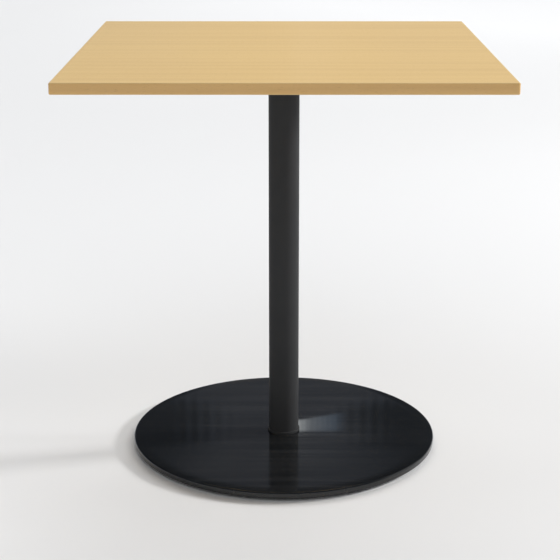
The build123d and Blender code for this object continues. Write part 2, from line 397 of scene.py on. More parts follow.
def gloss_enamel(name):
    """Gloss black enamel over linished sheet steel: long faint streaks along X, slight waviness, a little dust."""
    m, t, bsdf, where = new_material(name)
    wave = t.noise(where, 7.0, 1.0, 0.4)
    streak = t.noise(t.scaled(where, 2.6, 105.0, 40.0), 1.0, 5.0, 0.72)
    streak_b = t.noise(t.scaled(where, 1.5, 42.0, 20.0, offset=(4, 1, 0)), 1.0, 3.0, 0.6)
    cloud = t.noise(t.scaled(where, 3.0, 7.0, 5.0, offset=(1, 9, 0)), 1.0, 2.0, 0.5)
    dust = t.ramp(t.noise(where, 1900.0, 2.0, 0.6), 0.67, 0.79)
    cells = t.add("ShaderNodeTexVoronoi", {"Vector": where, "Scale": 26.0}, feature="DISTANCE_TO_EDGE").outputs["Distance"]
    hair = t.math("MULTIPLY", t.ramp(cells, 0.010, 0.0), t.ramp(t.noise(where, 40.0, 2.0), 0.58, 0.78))
    lines = t.math("ADD", t.math("MULTIPLY", t.ramp(streak, 0.40, 0.64), 0.60), t.math("MULTIPLY", t.ramp(streak_b, 0.36, 0.64), 0.40))
    # the streaks are full strength within 0.09 m of the middle in x and fall to 0.30 of that beyond 0.22 m
    middle_band = t.ramp(t.math("ABSOLUTE", t.add("ShaderNodeSeparateXYZ", {"Vector": where}).outputs[0]), 0.22, 0.09, 0.30, 1.0)
    lines = t.math("MULTIPLY", t.math("MULTIPLY", lines, t.ramp(cloud, 0.28, 0.62, 0.35, 1.0)), middle_band)
    base = t.mix(lines, (0.0066, 0.0073, 0.0082, 1), (0.0200, 0.0208, 0.0220, 1))
    base = t.mix(t.math("MULTIPLY", dust, 0.16), base, (0.10, 0.102, 0.105, 1))
    t.put(bsdf.inputs["Base Color"], base)
    scuffed = t.ramp(t.add("ShaderNodeSeparateXYZ", {"Vector": where}).outputs[1], -0.02, -0.15)          # dulled by shoes in front
    r = t.math("ADD", t.math("ADD", 0.022, t.math("MULTIPLY", scuffed, 0.085)), t.math("MULTIPLY", lines, 0.028))
    r = t.math("ADD", r, t.math("MULTIPLY", dust, 0.12))
    r = t.math("ADD", r, t.math("MULTIPLY", hair, 0.06))
    t.put(bsdf.inputs["Roughness"], r)
    bsdf.inputs["Specular IOR Level"].default_value = 0.5
    bsdf.inputs["IOR"].default_value = 1.50
    first = t.bump(wave, 0.03, 0.0008)
    t.put(bsdf.inputs["Normal"], t.bump(streak, 0.025, 0.00005, first))
    return m


def steel(name, colour=(0.56, 0.56, 0.57), rough=0.27, tint=(0.60, 0.57, 0.50), turned=False):
    """Bright zinc plating or turned steel, with fine tool marks, tarnish clouds and small dull spots."""
    m, t, bsdf, where = new_material(name)
    cloud = t.noise(where, 120.0, 3.0, 0.6)
    fine = t.noise(where, 2600.0, 2.0, 0.6)
    spots = t.ramp(t.noise(where, 520.0, 2.0, 0.6), 0.64, 0.76)
    if turned:
        xyz = t.add("ShaderNodeSeparateXYZ", {"Vector": where}).outputs
        radius = t.math("SQRT", t.math("ADD", t.math("POWER", xyz[0], 2.0), t.math("POWER", xyz[1], 2.0)))
        lines = t.add("ShaderNodeCombineXYZ", {"X": t.math("MULTIPLY", radius, 3800.0), "Y": t.math("MULTIPLY", xyz[2], 3800.0), "Z": 0.0}).outputs[0]
        marks = t.noise(lines, 1.0, 2.0, 0.6)
    else:
        marks = t.noise(t.scaled(where, 900.0, 900.0, 3500.0), 1.0, 2.0, 0.6)
    c = t.mix(t.math("MULTIPLY", cloud, 0.8), colour + (1.0,), tint + (1.0,))
    c = t.mix(t.math("MULTIPLY", spots, 0.35), c, (0.27, 0.26, 0.25, 1))
    t.put(bsdf.inputs["Base Color"], c)
    bsdf.inputs["Metallic"].default_value = 1.0
    r = t.math("ADD", rough - 0.06, t.math("MULTIPLY", cloud, 0.08))
    r = t.math("ADD", r, t.math("ADD", t.math("MULTIPLY", marks, 0.07), t.math("MULTIPLY", spots, 0.18)))
    t.put(bsdf.inputs["Roughness"], r)
    t.put(bsdf.inputs["Normal"], t.bump(t.math("ADD", marks, t.math("MULTIPLY", fine, 0.3)), 0.28, 0.00004))
    return m


def cast_iron(name):
    """Sand-cast ballast under a thin matt black primer."""
    m, t, bsdf, where = new_material(name)
    sand = t.noise(where, 760.0, 4.0, 0.65)
    lumps = t.noise(where, 95.0, 3.0, 0.55)
    pits = t.ramp(t.noise(where, 330.0, 2.0, 0.5, 0.3), 0.64, 0.74)
    rust = t.math("MULTIPLY", t.ramp(t.noise(where, 30.0, 5.0, 0.65), 0.60, 0.74), t.ramp(sand, 0.42, 0.62))
    c = t.mix(sand, (0.016, 0.016, 0.017, 1), (0.040, 0.040, 0.041, 1))
    c = t.mix(t.math("MULTIPLY", pits, 0.5), c, (0.008, 0.008, 0.008, 1))
    c = t.mix(t.math("MULTIPLY", rust, 0.55), c, (0.11, 0.052, 0.026, 1))
    t.put(bsdf.inputs["Base Color"], c)
    t.put(bsdf.inputs["Roughness"], t.math("ADD", 0.60, t.math("MULTIPLY", sand, 0.22)))
    bsdf.inputs["Specular IOR Level"].default_value = 0.35
    h = t.math("SUBTRACT", t.math("ADD", t.math("MULTIPLY", sand, 0.6), t.math("MULTIPLY", lumps, 1.0)), t.math("MULTIPLY", pits, 0.5))
    t.put(bsdf.inputs["Normal"], t.bump(h, 0.75, 0.0005))
    return m


def fibreboard(name):
    """Pressed fibreboard: felted fibres and darker chips."""
    m, t, bsdf, where = new_material(name)
    a = t.noise(t.scaled(where, 300.0, 700.0, 2600.0), 1.0, 4.0, 0.7)
    b = t.noise(t.scaled(where, 700.0, 260.0, 2200.0, offset=(2, 5, 1)), 1.0, 4.0, 0.7)
    chips = t.ramp(t.noise(where, 420.0, 2.0, 0.6), 0.60, 0.72)
    c = t.mix(t.math("MULTIPLY", t.math("ADD", a, b), 0.5), (0.20, 0.125, 0.070, 1), (0.50, 0.365, 0.235, 1))
    c = t.mix(t.math("MULTIPLY", chips, 0.4), c, (0.13, 0.08, 0.045, 1))
    t.put(bsdf.inputs["Base Color"], c)
    t.put(bsdf.inputs["Roughness"], t.math("ADD", 0.80, t.math("MULTIPLY", a, 0.12)))
    t.put(bsdf.inputs["Normal"], t.bump(t.math("ADD", a, b), 0.5, 0.00015))
    return m


def nylon(name):
    """Moulded black nylon with a fine spark-eroded texture and scuffing."""
    m, t, bsdf, where = new_material(name)
    grain = t.noise(where, 2300.0, 3.0, 0.6)
    cloud = t.noise(where, 70.0, 3.0, 0.6)
    scuff = t.ramp(t.noise(t.scaled(where, 160.0, 900.0, 300.0), 1.0, 3.0, 0.65), 0.60, 0.76)
    c = t.mix(cloud, (0.012, 0.012, 0.0125, 1), (0.022, 0.022, 0.023, 1))
    c = t.mix(t.math("MULTIPLY", scuff, 0.35), c, (0.075, 0.074, 0.072, 1))
    t.put(bsdf.inputs["Base Color"], c)
    t.put(bsdf.inputs["Roughness"], t.math("ADD", t.math("ADD", 0.42, t.math("MULTIPLY", grain, 0.12)), t.math("MULTIPLY", scuff, 0.12)))
    t.put(bsdf.inputs["Normal"], t.bump(grain, 0.35, 0.00006))
    return m


# painted shade: the upright edge faces are darkened and warmed to stand in for the shade the lights leave on them, more
# so on the left and right strips
UPRIGHT_FACE_SHADE = (1.000, 0.882, 0.703, 1.0)
SIDE_FACE_SHADE = (0.800, 0.700, 0.580, 1.0)

M = {
    "face": wood("maple_veneer_face", "X", seed=1.7, leaf=0.1504),
    "backer": wood("maple_veneer_back", "X", seed=7.3, tone=0.93, leaf=0.188, gloss=0.50),
    "edge_x": wood("maple_strip_along_x", "X", seed=12.1, end_grain=True, upright_shade=UPRIGHT_FACE_SHADE),
    "edge_y": wood("maple_strip_along_y", "Y", seed=19.4, upright_shade=SIDE_FACE_SHADE),
    "board": fibreboard("pressed_board"),
    "satin": powder_coat("satin_black_powder_coat"),
    "gloss": gloss_enamel("gloss_black_enamel"),
    "iron": cast_iron("primed_cast_iron"),
    "zinc": steel("bright_zinc"),
    "turned": steel("turned_steel", (0.44, 0.43, 0.42), 0.36, (0.40, 0.385, 0.36), turned=True),
    "nylon": nylon("black_nylon"),
}


# ------------------------------------------------------------------ pieces
def finish_piece(ob, node, material, body="table"):
    ob.data.materials.clear()
    ob.data.materials.append(material)
    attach(ob, body)
    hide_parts(node)
    return ob


def slab():
    """The whole top as one rounded board: corners in plan first, then both arrises."""
    bm = bmesh.new()
    bmesh.ops.create_cube(bm, size=1.0)
    for v in bm.verts:
        v.co = Vector((v.co.x * 2 * HALF_W, v.co.y * 2 * HALF_D, UNDER_Z if v.co.z < 0 else TOP_Z))
    upright = [e for e in bm.edges if abs(e.verts[0].co.z - e.verts[1].co.z) > 0.001]
    bmesh.ops.bevel(bm, geom=upright, offset=CORNER, offset_type="OFFSET", segments=10, profile=0.5, affect="EDGES")
    for z in (TOP_Z, UNDER_Z):
        rim = [e for e in bm.edges if all(abs(v.co.z - z) < 1e-6 for v in e.verts)]
        bmesh.ops.bevel(bm, geom=rim, offset=ARRIS, offset_type="OFFSET", segments=8, profile=0.5, affect="EDGES")
    return bm


def cut(bm, point, normal):
    """Keeps the side the normal points away from, closes the cut and returns the faces that close it."""
    geom = bm.verts[:] + bm.edges[:] + bm.faces[:]
    res = bmesh.ops.bisect_plane(bm, geom=geom, plane_co=point, plane_no=normal, clear_outer=True, dist=1e-7)
    edges = [e for e in res["geom_cut"] if isinstance(e, bmesh.types.BMEdge)]
    bmesh.ops.contextual_create(bm, geom=edges)
    bm.normal_update()
    face = [f for f in bm.faces if abs(f.normal.dot(Vector(normal))) > 0.999 and abs((f.calc_center_median() - Vector(point)).dot(Vector(normal))) < 1e-6]
    return face


def ease(bm, faces, width, segments=2):
    edges = {e for f in faces for e in f.edges if e.calc_face_angle(0) > math.radians(60)}
    if edges:
        bmesh.ops.bevel(bm, geom=list(edges), offset=width, offset_type="OFFSET", segments=segments, profile=0.5, affect="EDGES", clamp_overlap=True)


def strip(name, node, planes, material):
    bm = slab()
    for point, normal in planes:
        faces = cut(bm, point, normal)
        ease(bm, faces, 0.10 * MM)
    ob = bm_object(name, bm, 28.0)
    return finish_piece(ob, node, material)


IN_W, IN_D = top_high[0], top_high[1]
strip("front_edge_strip", "lipping_front", [((0, -IN_D, 0), (0, 1, 0))], M["edge_x"])
strip("back_edge_strip", "lipping_back", [((0, IN_D, 0), (0, -1, 0))], M["edge_x"])
strip("left_edge_strip", "lipping_left", [((0, -IN_D, 0), (0, -1, 0)), ((0, IN_D, 0), (0, 1, 0)), ((-IN_W, 0, 0), (1, 0, 0))], M["edge_y"])
strip("right_edge_strip", "lipping_right", [((0, -IN_D, 0), (0, -1, 0)), ((0, IN_D, 0), (0, 1, 0)), ((IN_W, 0, 0), (-1, 0, 0))], M["edge_y"])


def eased_sheet(name, node, material, low, high, up):
    """A veneer sheet with its outer face's edges eased."""
    bm = bmesh.new()
    bmesh.ops.create_cube(bm, size=1.0)
    for v in bm.verts:
        v.co = Vector([low[k] if v.co[k] < 0 else high[k] for k in range(3)])
    z = high[2] if up else low[2]
    rim = [e for e in bm.edges if all(abs(v.co.z - z) < 1e-6 for v in e.verts)]
    bmesh.ops.bevel(bm, geom=rim, offset=0.10 * MM, offset_type="OFFSET", segments=2, profile=0.5, affect="EDGES")
    ob = bm_object(name, bm, 28.0)
    return finish_piece(ob, node, material)


eased_sheet("face_veneer", "top_face_sheet", M["face"], face_low, face_high, True)

# Column: a drawn tube with both ends eased.
r0, r1, z0, z1, e = TUBE_R, TUBE_R - TUBE_WALL, tube_low[2], tube_high[2], 0.35 * MM
profile = arc(r0 - e, z0 + e, e, -90, 0, 3)
profile += [(r0, z0 + (z1 - z0) * k / 12) for k in range(1, 12)]
profile += arc(r0 - e, z1 - e, e, 0, 90, 3) + arc(r1 + e, z1 - e, e, 90, 180, 3)
profile += [(r1, z1 - (z1 - z0) * k / 12) for k in range(1, 12)]
profile += arc(r1 + e, z0 + e, e, 180, 270, 3)
finish_piece(lathe("column", profile, 192), "column_tube", M["satin"])

# Ring round the foot of the column.
r0, r1, z0, z1 = collar_high[0], TUBE_R + 0.1 * MM, collar_low[2], collar_high[2]
profile = arc(r0 - 0.25 * MM, z0 + 0.25 * MM, 0.25 * MM, -90, 0, 3)
profile += arc(r0 - 1.0 * MM, z1 - 1.0 * MM, 1.0 * MM, 0, 90, 8)
profile += arc(r1 + 0.3 * MM, z1 - 0.3 * MM, 0.3 * MM, 90, 180, 3)
profile += [(r1, z0)]
finish_piece(lathe("foot_ring", profile, 192), "column_collar", M["satin"])

# Base cover: a shallow pressed dish, open below, its rim turned down and eased.
ro, zb, zt, wall, edge, hole = BASE_R, cover_low[2], cover_high[2], 1.5 * MM, 3.2 * MM, 25.6 * MM
# the top is flat to within a hand's breadth of the rim, then falls away a little before it turns down
fall, drop = 22 * MM, 0.75 * MM
turn = 2 * drop / fall                       # slope where the fall meets the turned edge
profile = [(hole + 0.2 * MM, zt), (60 * MM, zt), (110 * MM, zt), (160 * MM, zt), (210 * MM, zt), (240 * MM, zt)]
reach = ro - edge * 0.96 - fall
for k in range(15):
    u = k / 14
    profile.append((reach + fall * u, zt - drop * u * u))
tilt = math.degrees(math.atan(turn))
profile += list(reversed(arc(ro - edge, zt - drop - edge + 0.01 * MM, edge, 0, 90 - tilt, 14)))[1:]
profile += [(ro, zt - drop - edge - 2.0 * MM)]
profile += list(reversed(arc(ro - wall / 2, zb + wall / 2, wall / 2, -180, 0, 8)))
profile += arc(ro - edge, zt - drop - edge, edge - 1.0 * MM, 0, 90, 8)
profile += [(ro - edge - 3.0 * MM, zt - wall), (250 * MM, zt - wall), (150 * MM, zt - wall), (60 * MM, zt - wall), (hole, zt - wall), (hole, zt - 0.2 * MM)]
finish_piece(lathe("base_dish", profile, 288), "base_cover", M["gloss"])


# ---------------------------------------------------------------- threads and fasteners
def fixed(r, z):
    return lambda a: (r, z)


# Tie rod: M12 x 1.75 cut on both ends of a plain rod.
rr, rz0, rz1, cut_len, minor = rod_high[0], rod_low[2], rod_high[2], 38 * MM, 5.05 * MM
t12 = thread_shape(rr, minor)


def rod_envelope(z, r):
    end = min(abs(z - rz0), abs(rz1 - z))                                    # chamfered point
    runout = min(abs(rz0 + cut_len - z), abs(z - (rz1 - cut_len)))           # the die's run-out
    return min(r, minor - 0.4 * MM + end, minor + runout)


rows = [fixed(0, rz0), fixed(minor - 0.4 * MM, rz0),
        {"z0": rz0, "z1": rz0 + cut_len, "pitch": 1.75 * MM, "per": 10, "shape": t12, "envelope": rod_envelope},
        fixed(minor, rz0 + cut_len), fixed(5.43 * MM, rz0 + cut_len + 0.6 * MM)]
rows += [fixed(5.43 * MM, rz0 + cut_len + 1 * MM + (rz1 - rz0 - 2 * cut_len - 2 * MM) * k / 10) for k in range(11)]
rows += [fixed(5.43 * MM, rz1 - cut_len - 0.6 * MM), fixed(minor, rz1 - cut_len),
         {"z0": rz1 - cut_len, "z1": rz1, "pitch": 1.75 * MM, "per": 10, "shape": t12, "envelope": rod_envelope},
         fixed(minor - 0.4 * MM, rz1), fixed(0, rz1)]
finish_piece(grid_solid("tie_rod_threaded", rows, 48, smooth_angle=40), "tie_rod", M["zinc"])

# M12 nut: chamfered corners both sides, threaded bore.
nz0, nz1, flats = nut_low[2], nut_high[2], 18.0 * MM
crown = flats / math.sqrt(3)


def bore(z, r):
    d = min(abs(z - nz0), abs(nz1 - z))
    return max(r, 6.4 * MM - d) if d < 1.3 * MM else r


def inner_shape(ph):
    t = abs(ph - 0.5) * 2
    return 6.08 * MM if t < 0.14 else (5.15 * MM if t > 0.8 else 6.08 * MM - (t - 0.14) / 0.66 * 0.93 * MM)


outer = []
for d, lim in ((0.0, crown - 1.0 * MM), (0.15 * MM, crown - 0.72 * MM), (0.3 * MM, crown - 0.45 * MM), (0.42 * MM, crown - 0.22 * MM), (0.54 * MM, crown)):
    outer.append(hex_row(flats, nz0 + d, lim))
for d, lim in reversed(((0.0, crown - 1.0 * MM), (0.15 * MM, crown - 0.72 * MM), (0.3 * MM, crown - 0.45 * MM), (0.42 * MM, crown - 0.22 * MM), (0.54 * MM, crown))):
    outer.append(hex_row(flats, nz1 - d, lim))
rows = outer + [fixed(8.4 * MM, nz1), fixed(6.4 * MM, nz1),
                {"z0": nz1, "z1": nz0, "pitch": 1.75 * MM, "per": 10, "shape": inner_shape, "envelope": bore},
                fixed(6.4 * MM, nz0), fixed(8.4 * MM, nz0)]
finish_piece(grid_solid("tie_rod_hex_nut", rows, 72, loop=True, smooth_angle=30), "tie_rod_nut", M["zinc"])

# Flat washer, punched: rounded on one side.
z0, z1 = washer_low[2], washer_high[2]
profile = arc(12 * MM - 0.6 * MM, z1 - 0.6 * MM, 0.6 * MM, 0, 90, 5) + arc(6.5 * MM + 0.3 * MM, z1 - 0.3 * MM, 0.3 * MM, 90, 180, 3)
profile += [(6.5 * MM, z0 + 0.1 * MM), (6.6 * MM, z0), (12 * MM - 0.15 * MM, z0), (12 * MM, z0 + 0.15 * MM)]
finish_piece(lathe("flat_washer", profile, 96), "tie_rod_washer", M["zinc"])


def spring_washer(name, low, high, outer_r, inner_r, gap_mm):
    """A split ring of rectangular section, its two ends sprung a little apart."""
    verts, faces, n = [], [], 90
    z0, z1 = low, high
    half = gap_mm * MM / 2 / ((outer_r + inner_r) / 2)
    ring = 8
    lift = 0.35 * MM
    e = 0.18 * MM
    for i in range(n + 1):
        f = i / n
        a = half + (TAU - 2 * half) * f
        dz = lift * (f - 0.5)
        c, s = math.cos(a), math.sin(a)
        t = (z1 - z0) - lift
        zc = (z0 + z1) / 2 + dz
        section = [(outer_r - e, zc - t / 2), (outer_r, zc - t / 2 + e), (outer_r, zc + t / 2 - e), (outer_r - e, zc + t / 2),
                   (inner_r + e, zc + t / 2), (inner_r, zc + t / 2 - e), (inner_r, zc - t / 2 + e), (inner_r + e, zc - t / 2)]
        verts += [(r * c, r * s, z) for r, z in section]
    for i in range(n):
        for j in range(ring):
            k = (j + 1) % ring
            faces.append((i * ring + j, i * ring + k, (i + 1) * ring + k, (i + 1) * ring + j))
    faces.append(tuple(range(ring - 1, -1, -1)))
    faces.append(tuple(n * ring + j for j in range(ring)))
    return mesh_object(name, verts, faces, 30)


finish_piece(spring_washer("split_lock_washer", lock_low[2], lock_high[2], 10.5 * MM, 6.4 * MM, 1.3), "tie_rod_lock_washer", M["zinc"])


def countersunk_screw(centre, head_r, head_h, shank_r, length, z_head, up, pitch, minor, drive, tip, add_to):
    """A countersunk screw whose head face is at z_head. up is +1 when the point is above the head.
    drive is (recess radius function, depth)."""
    s = 1.0 if up > 0 else -1.0
    recess, depth = drive
    rows = [fixed(0, z_head + s * depth), (lambda a: (recess(a) * 0.80, z_head + s * depth)), (lambda a: (recess(a) * 0.94, z_head + s * 0.25 * MM)), (lambda a: (recess(a), z_head))]
    rows += [fixed(head_r - 0.35 * MM, z_head), fixed(head_r, z_head + s * 0.12 * MM), fixed(head_r, z_head + s * 0.32 * MM)]
    neck = z_head + s * (head_h + 0.2 * MM)
    rows += [fixed(shank_r * 0.92 + 0.2 * MM, neck - s * 0.1 * MM)]
    shape = thread_shape(shank_r, minor)
    end = z_head + s * length

    def envelope(z, r):
        d = abs(end - z)
        if tip:
            lim = 0.25 * MM + d * 0.62
            core = min(minor, lim * (1.0 - 0.28 * min(1.0, d / (1.5 * MM))))
            r = min(r, lim) if r > minor else min(core, r)
            lead = abs(z - neck)
            return min(r, minor + lead * 0.9) if lead < 2.0 * MM else r
        lim = minor * 0.9 + d
        lead = abs(z - neck)
        r = min(r, lim)
        return min(r, minor + lead * 0.9) if lead < 1.5 * MM else r

    rows += [fixed(minor, neck),
             {"z0": neck, "z1": end, "pitch": pitch, "per": 8, "shape": shape, "envelope": envelope},
             fixed(0, end)]
    if s < 0:
        raise ValueError("screws here all point up")
    grid_solid("", rows, 48, centre=centre, add_to=add_to)


def pozi(size):
    """Radius round a cross recess: four rounded wings."""
    def f(a):
        d = (a + TAU / 8) % (TAU / 4) - TAU / 8
        wing = size
        core = size * 0.42
        width = size * 0.22
        if abs(math.tan(min(abs(d), 1.2))) < width / core:
            return min(wing, max(core, width / max(math.sin(abs(d)), 1e-3)))
        return core / max(math.cos(abs(d)), 0.7)
    return f


def hex_recess(flat):
    def f(a):
        return flat / 2 / math.cos((a % (TAU / 6)) - TAU / 12)
    return f


p = 135.0 * MM
screw_bottom = plate_low[2] + 0.1 * MM
parts = ([], [])
for x, y in [(-p, -p), (0, -p), (p, -p), (-p, 0), (p, 0), (-p, p), (0, p), (p, p)]:
    countersunk_screw((x, y), 4.8 * MM, 2.4 * MM, 2.5 * MM, 19.9 * MM, screw_bottom, 1, 2.2 * MM, 1.62 * MM, (pozi(2.3 * MM), 1.9 * MM), True, parts)
ob = mesh_object("plate_wood_screws", *parts, 30)
finish_piece(ob, "wood_screws", M["zinc"])

parts = ([], [])
head_z = weight_low[2] + 0.2 * MM
for i in range(3):
    a = math.radians(90 + 120 * i)
    countersunk_screw((16 * MM * math.cos(a), 16 * MM * math.sin(a)), 7.6 * MM, 3.6 * MM, 4.0 * MM, 20.8 * MM, head_z, 1, 1.25 * MM, 3.35 * MM, (hex_recess(5.0 * MM), 3.0 * MM), False, parts)
ob = mesh_object("hub_countersunk_screws", *parts, 30)
finish_piece(ob, "foot_hub_screws", M["zinc"])

# ---------------------------------------------------------------- levelling glides
for number in range(1, 5):
    pad_low, pad_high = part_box("glide_pad_%d" % number)
    stud_low, stud_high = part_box("glide_stud_%d" % number)
    cx, cy = (pad_low[0] + pad_high[0]) / 2, (pad_low[1] + pad_high[1]) / 2
    # pad: rounded nylon foot with a shallow ring under it and a snap-in socket
    top, rad = pad_high[2], (pad_high[0] - pad_low[0]) / 2
    profile = [(0, 0.5 * MM), (8.5 * MM, 0.5 * MM), (9.2 * MM, 0.0), (rad - 0.6 * MM, 0.0)]
    profile += arc(rad - 0.6 * MM, 0.6 * MM, 0.6 * MM, -70, 0, 4)
    profile += arc(rad - 1.4 * MM, top - 1.4 * MM, 1.4 * MM, 0, 90, 8)
    profile += [(7.4 * MM, top), (6.4 * MM, top)]
    profile += arc(4.35 * MM + 0.3 * MM, top - 0.3 * MM, 0.3 * MM, 90, 180, 3)
    profile += [(4.35 * MM, 4.25 * MM), (4.6 * MM, 4.1 * MM), (6.4 * MM, 4.1 * MM), (6.6 * MM, 3.9 * MM), (6.6 * MM, 2.2 * MM), (6.4 * MM, 2.0 * MM), (0, 2.0 * MM)]
    pad = lathe("glide_foot_%d" % number, profile, 96, centre=(cx, cy), loop=False)
    finish_piece(pad, "glide_pad_%d" % number, M["nylon"], "pad_%d" % number)
    # stud: captive foot, neck, hexagon, M8 x 1.25 thread
    t8 = thread_shape(4.0 * MM, 3.35 * MM)
    tz0, tz1 = 8.3 * MM, stud_high[2]

    def stud_envelope(z, r, tz0=tz0, tz1=tz1):
        r = min(r, 3.0 * MM + (tz1 - z)) if z > tz1 - 1.3 * MM else r
        return min(r, 3.35 * MM + (z - tz0)) if z < tz0 + 1.0 * MM else r

    hz0, hz1, fl = 5.5 * MM, 7.7 * MM, 13.0 * MM
    cr = fl / math.sqrt(3)
    rows = [fixed(0, 2.3 * MM), fixed(5.9 * MM, 2.3 * MM), fixed(6.1 * MM, 2.5 * MM), fixed(6.1 * MM, 3.6 * MM), fixed(5.9 * MM, 3.8 * MM),
            fixed(4.25 * MM, 3.8 * MM), fixed(4.0 * MM, 4.0 * MM), fixed(4.0 * MM, 5.3 * MM), fixed(4.2 * MM, hz0),
            fixed(fl / 2 - 0.4 * MM, hz0), hex_row(fl, hz0 + 0.08 * MM, cr - 0.62 * MM), hex_row(fl, hz0 + 0.25 * MM, cr - 0.30 * MM), hex_row(fl, hz0 + 0.42 * MM, cr),
            hex_row(fl, hz1 - 0.42 * MM, cr), hex_row(fl, hz1 - 0.25 * MM, cr - 0.30 * MM), hex_row(fl, hz1 - 0.08 * MM, cr - 0.62 * MM), fixed(fl / 2 - 0.4 * MM, hz1),
            fixed(3.7 * MM, hz1), fixed(3.35 * MM, hz1 + 0.2 * MM), fixed(3.35 * MM, tz0),
            {"z0": tz0, "z1": tz1, "pitch": 1.25 * MM, "per": 10, "shape": t8, "envelope": stud_envelope},
            fixed(3.0 * MM, tz1), fixed(0, tz1)]
    stud = grid_solid("glide_screw_%d" % number, rows, 72, centre=(cx, cy), smooth_angle=30)
    finish_piece(stud, "glide_stud_%d" % number, M["zinc"], "stud_%d" % number)

# ---------------------------------------------------------------- CAD pieces kept, with their finishes
for node, key_ in {"top_core": "board", "top_backer_sheet": "backer", "mounting_plate": "satin", "base_weight": "iron", "top_hub": "turned", "foot_hub": "turned"}.items():
    nodes[node].data.materials.clear()
    nodes[node].data.materials.append(M[key_])


# ------------------------------------------------------------------ floor, world and lights
def make_floor():
    bm = bmesh.new()
    rings, seg = [0.6, 1.2, 2.5, 5, 10, 20, 45], 96
    centre = bm.verts.new((0, 0, 0))
    last = None
    for r in rings:
        ring = [bm.verts.new((r * math.cos(TAU * i / seg), r * math.sin(TAU * i / seg), 0)) for i in range(seg)]
        for i in range(seg):
            k = (i + 1) % seg
            if last is None:
                bm.faces.new((centre, ring[i], ring[k]))
            else:
                bm.faces.new((last[i], ring[i], ring[k], last[k]))
        last = ring
    mesh = bpy.data.meshes.new("studio_floor")
    bm.to_mesh(mesh)
    bm.free()
    floor = bpy.data.objects.new("studio_floor", mesh)
    scene.collection.objects.link(floor)
    m = bpy.data.materials.new("pale_floor")
    m.use_nodes = True
    t = Tree(m.node_tree)
    m.node_tree.nodes.clear()
    out = t.add("ShaderNodeOutputMaterial")
    where = t.add("ShaderNodeTexCoord").outputs["Object"]
    xyz = t.add("ShaderNodeSeparateXYZ", {"Vector": where}).outputs
    # painted light: the tone below is a fitted field that lightens the floor where the table's shadow and the lamps'
    # falloff darken it, with a painted shadow band under the table
    across = t.math("MINIMUM", t.math("MAXIMUM", xyz[0], -1.6), 1.6)
    zones = ((1.0, FLOOR_TONE_PAINTED_LIGHT[0], FLOOR_TONE_PAINTED_LIGHT[1]), (t.ramp(xyz[1], -0.55, 0.45, 1.0, 0.0), FLOOR_TONE_PAINTED_LIGHT[2], FLOOR_TONE_PAINTED_LIGHT[3]), (t.ramp(xyz[1], 0.3, 2.6), FLOOR_TONE_PAINTED_LIGHT[4], FLOOR_TONE_PAINTED_LIGHT[5]), (t.ramp(xyz[1], 2.0, 8.0), FLOOR_TONE_PAINTED_LIGHT[6], FLOOR_TONE_PAINTED_LIGHT[7]), (t.math("MULTIPLY", t.ramp(xyz[1], -0.5, -0.1), t.ramp(xyz[1], 0.1, 0.9, 1.0, 0.0)), FLOOR_TONE_PAINTED_LIGHT[8], FLOOR_TONE_PAINTED_LIGHT[9]))
    tone = 0.0
    for weight, level, slope in zones:
        tone = t.math("ADD", tone, t.math("MULTIPLY", weight, t.math("ADD", level, t.math("MULTIPLY", across, slope))))
    reach = t.math("SQRT", t.math("ADD", t.math("POWER", xyz[0], 2.0), t.math("POWER", xyz[1], 2.0)))
    # painted light: the floor inside the dish's radius is made 1.42 times paler, lightening the shade in the gap under
    # the dish
    tone = t.math("MULTIPLY", tone, t.ramp(reach, 0.276, 0.282, 1.42, 1.0))
    # beyond the wedge of floor the fitted tone covers, the floor turns paler with distance from the table and towards
    # +X: painted light, not the floor's own colour
    wedge = t.math("SUBTRACT", t.math("ABSOLUTE", xyz[0]), t.math("ADD", 0.80, t.math("MULTIPLY", xyz[1], 0.25)))
    outside = t.math("MAXIMUM", t.ramp(wedge, 0.15, 1.3), t.ramp(xyz[1], -0.60, -1.80))
    outer = t.math("ADD", t.ramp(reach, 0.9, 4.0, 0.70, 0.90), t.ramp(xyz[0], 1.5, 4.0, 0.0, 0.05))
    tone = t.math("ADD", t.math("MULTIPLY", tone, t.math("SUBTRACT", 1.0, outside)), t.math("MULTIPLY", outer, outside))
    tone = t.math("MINIMUM", t.math("MAXIMUM", tone, 0.45), 0.98)
    grey = t.add("ShaderNodeCombineColor", {0: t.math("MULTIPLY", tone, 0.993), 1: tone, 2: t.math("MULTIPLY", tone, 1.013)})
    diffuse = t.add("ShaderNodeBsdfDiffuse", {"Color": grey.outputs[0]})
    t.links.new(diffuse.outputs[0], out.inputs[0])
    mesh.materials.append(m)
    return floor


def toward(azimuth, elevation):
    """Unit vector to a light. Azimuth 0 is +X and 90 is +Y."""
    a, e = math.radians(azimuth), math.radians(elevation)
    return Vector((math.cos(a) * math.cos(e), math.sin(a) * math.cos(e), math.sin(e)))


def softbox(name, azimuth, elevation, angle, strength, colour=(1, 1, 1), glossy=False):
    """A very distant soft light. Strength 1 gives a white surface that faces it a radiance of 1."""
    data = bpy.data.lights.new(name, "SUN")
    data.energy = strength * math.pi
    data.angle = math.radians(angle)
    data.color = colour
    ob = bpy.data.objects.new(name, data)
    scene.collection.objects.link(ob)
    ob.location = toward(azimuth, elevation) * 3.0
    ob.rotation_euler = (-toward(azimuth, elevation)).to_track_quat("-Z", "Y").to_euler()
    ob.visible_glossy = glossy
    return ob


def panel(name, azimuth, elevation, distance, size, strength, colour=(1, 1, 1), aim=(0, 0, 0.2)):
    """A square light at a real distance, so that it falls off across the object."""
    data = bpy.data.lights.new(name, "AREA")
    data.shape = "SQUARE"
    data.size = size
    data.energy = strength * math.pi ** 2 * distance ** 2
    data.color = colour
    ob = bpy.data.objects.new(name, data)
    scene.collection.objects.link(ob)
    ob.location = Vector(aim) + toward(azimuth, elevation) * distance
    ob.rotation_euler = (-toward(azimuth, elevation)).to_track_quat("-Z", "Y").to_euler()
    return ob


